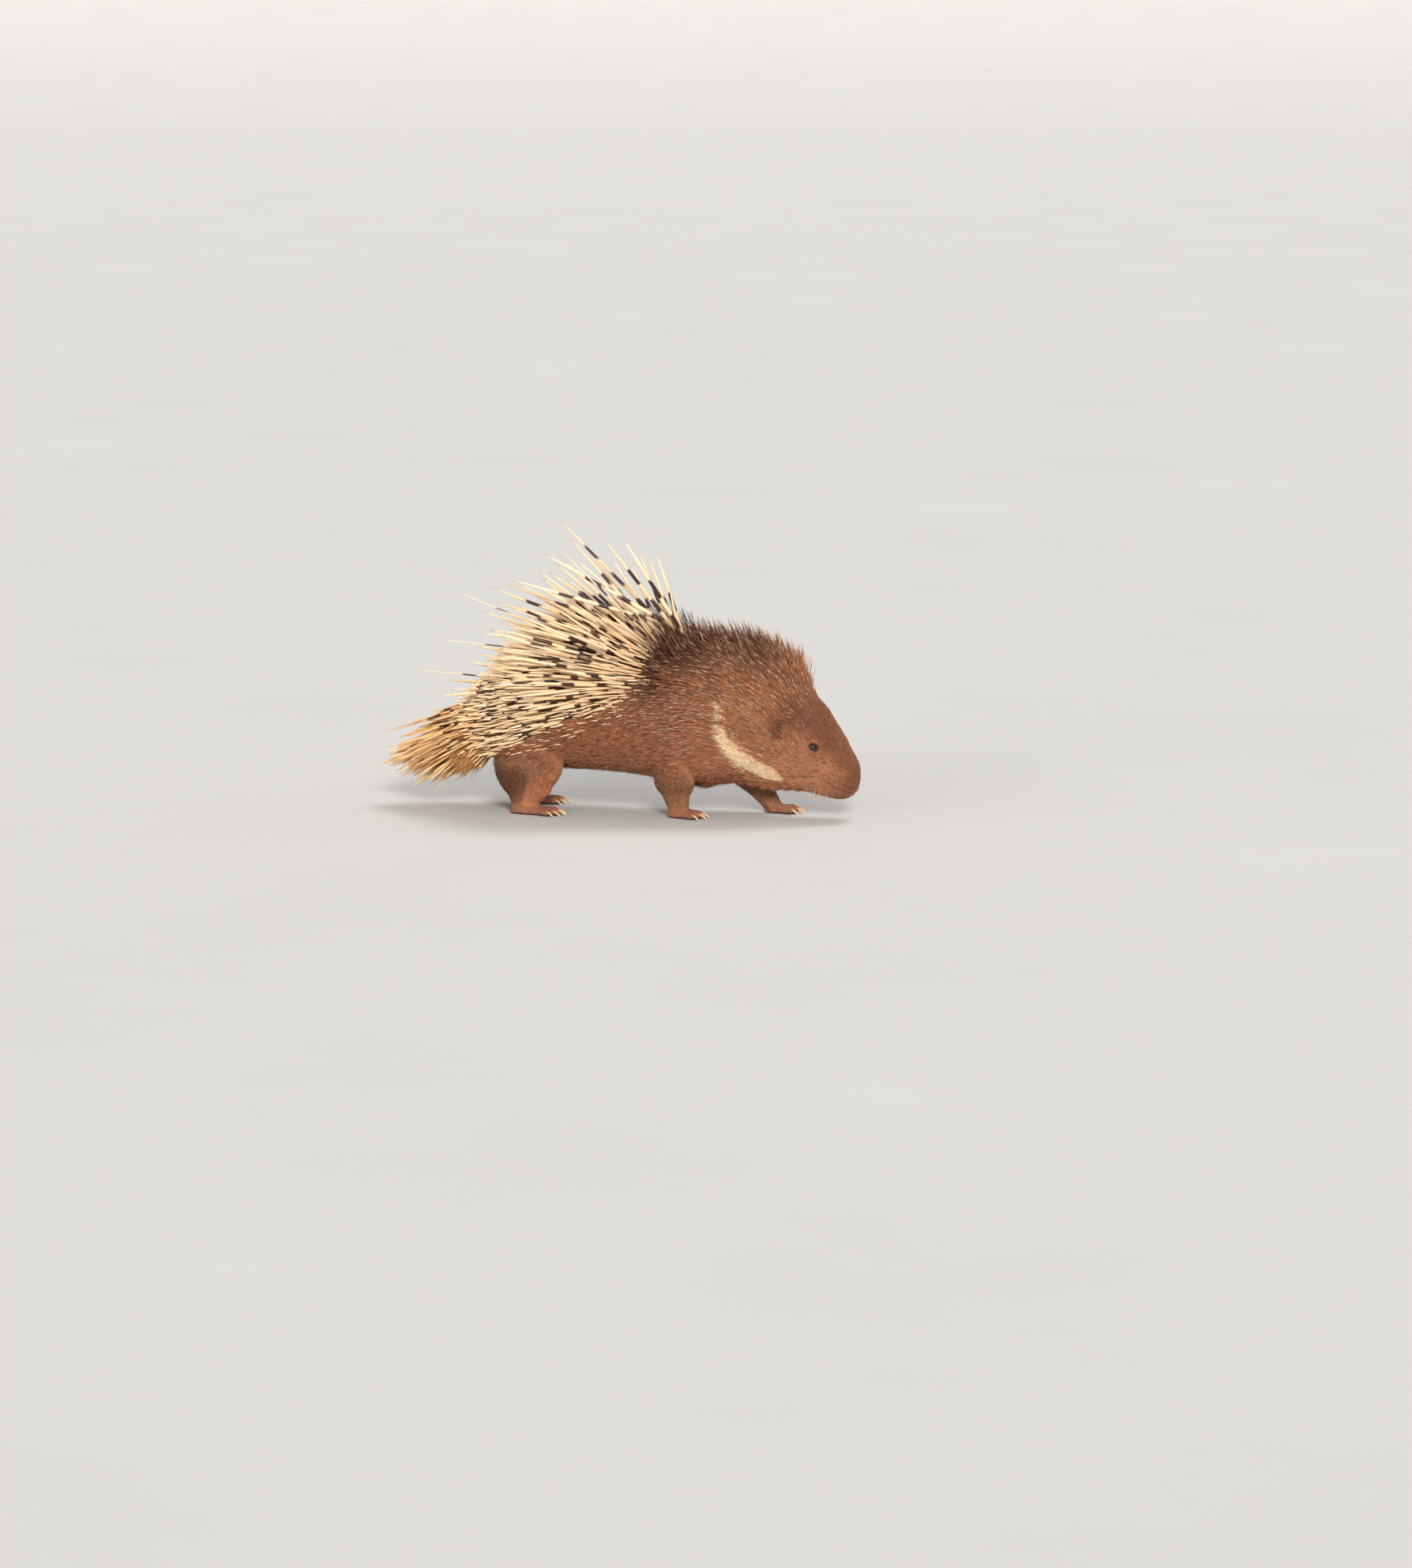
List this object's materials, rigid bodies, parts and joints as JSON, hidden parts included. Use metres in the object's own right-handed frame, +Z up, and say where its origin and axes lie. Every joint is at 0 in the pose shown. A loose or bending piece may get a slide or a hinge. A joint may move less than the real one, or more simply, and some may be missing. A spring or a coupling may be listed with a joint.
{
  "type": "malayan porcupine model",
  "caption": "Life-size still model of a Malayan porcupine walking with its head low and its back quills raised in a fan.",
  "frame": {"origin": "middle of the model's box, on the floor under the feet", "axes": "+X towards the head, +Y to the animal's left, +Z up"},
  "size_m": [0.794, 0.3954, 0.4549],
  "materials": {
    "coat": "matte bristly fur",
    "bristles": "stiff dark bristles with pale tips",
    "quills": "smooth horn, cream with dark brown bands",
    "bare_skin": "matte skin",
    "eyes": "wet gloss",
    "claws": "worn horn"
  },
  "bodies": {
    "root": {"trunk": "coat", "neck": "coat", "quill_mantle": "quills", "nape_crest": "bristles", "tail": "quills", "head": "coat", "eye_left": "eyes", "eye_right": "eyes", "ear_left": "bare_skin", "ear_right": "bare_skin", "leg_front_right": "coat", "front_right_claw_1": "claws", "front_right_claw_2": "claws", "front_right_claw_3": "claws", "front_right_claw_4": "claws", "leg_front_left": "coat", "front_left_claw_1": "claws", "front_left_claw_2": "claws", "front_left_claw_3": "claws", "front_left_claw_4": "claws", "leg_hind_right": "coat", "hind_right_claw_1": "claws", "hind_right_claw_2": "claws", "hind_right_claw_3": "claws", "hind_right_claw_4": "claws", "hind_right_claw_5": "claws", "leg_hind_left": "coat", "hind_left_claw_1": "claws", "hind_left_claw_2": "claws", "hind_left_claw_3": "claws", "hind_left_claw_4": "claws", "hind_left_claw_5": "claws"}
  },
  "joints": []
}
